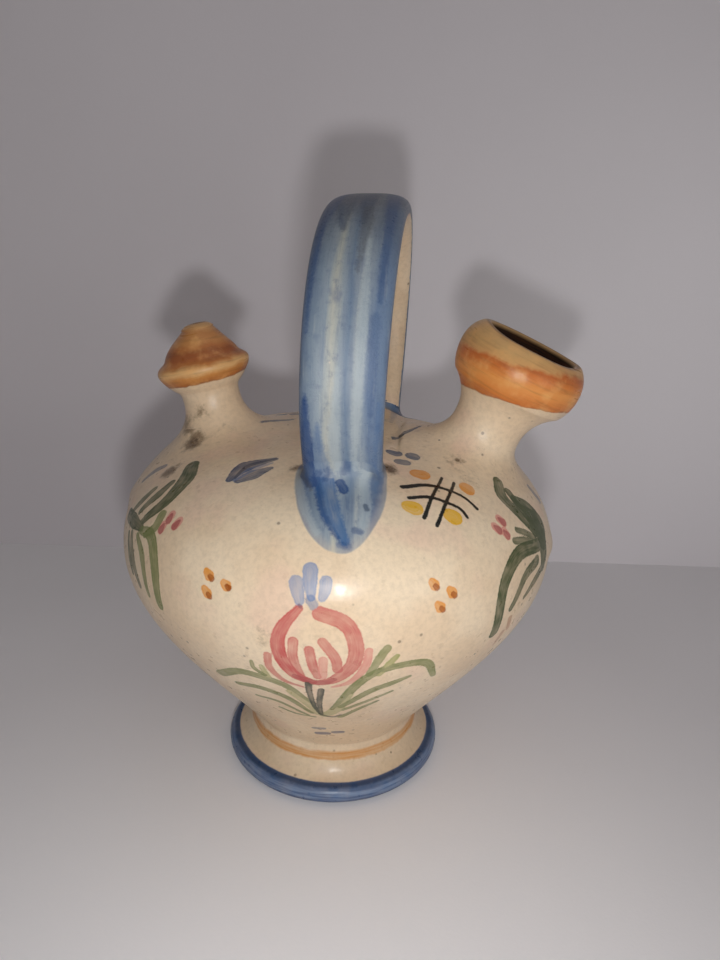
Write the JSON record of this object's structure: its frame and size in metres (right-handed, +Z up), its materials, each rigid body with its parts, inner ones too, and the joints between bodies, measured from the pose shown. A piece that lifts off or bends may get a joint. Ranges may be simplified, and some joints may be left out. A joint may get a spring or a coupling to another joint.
{
  "type": "two-spouted water jug",
  "caption": "Glazed earthenware water jug with a flared foot, a wide filling mouth, a narrow drinking spout and a strap handle arched over the body.",
  "frame": {"origin": "centre of the foot's flat underside, on the axis that the body was thrown about", "axes": "+Z up along the body's axis; +X towards the filling mouth, -X towards the drinking spout; the handle arches from -Y, the front in the picture, to +Y"},
  "size_m": [0.11, 0.106, 0.144],
  "materials": {
    "painted_glaze": "cream tin glaze with a satin gloss, painted with brush strokes under the glaze",
    "ochre_glaze": "ochre and burnt orange brushed over cream glaze, satin gloss",
    "blue_glaze": "watery blue brushed lengthwise over cream glaze, satin gloss"
  },
  "bodies": {
    "root": {"foot": "painted_glaze", "body_bowl": "painted_glaze", "body_shoulder": "painted_glaze", "mouth_neck": "painted_glaze", "mouth_collar": "ochre_glaze", "spout_neck": "painted_glaze", "spout_teat": "ochre_glaze", "handle_strap": "blue_glaze", "handle_wad_front": "blue_glaze", "handle_wad_rear": "blue_glaze"}
  },
  "joints": []
}
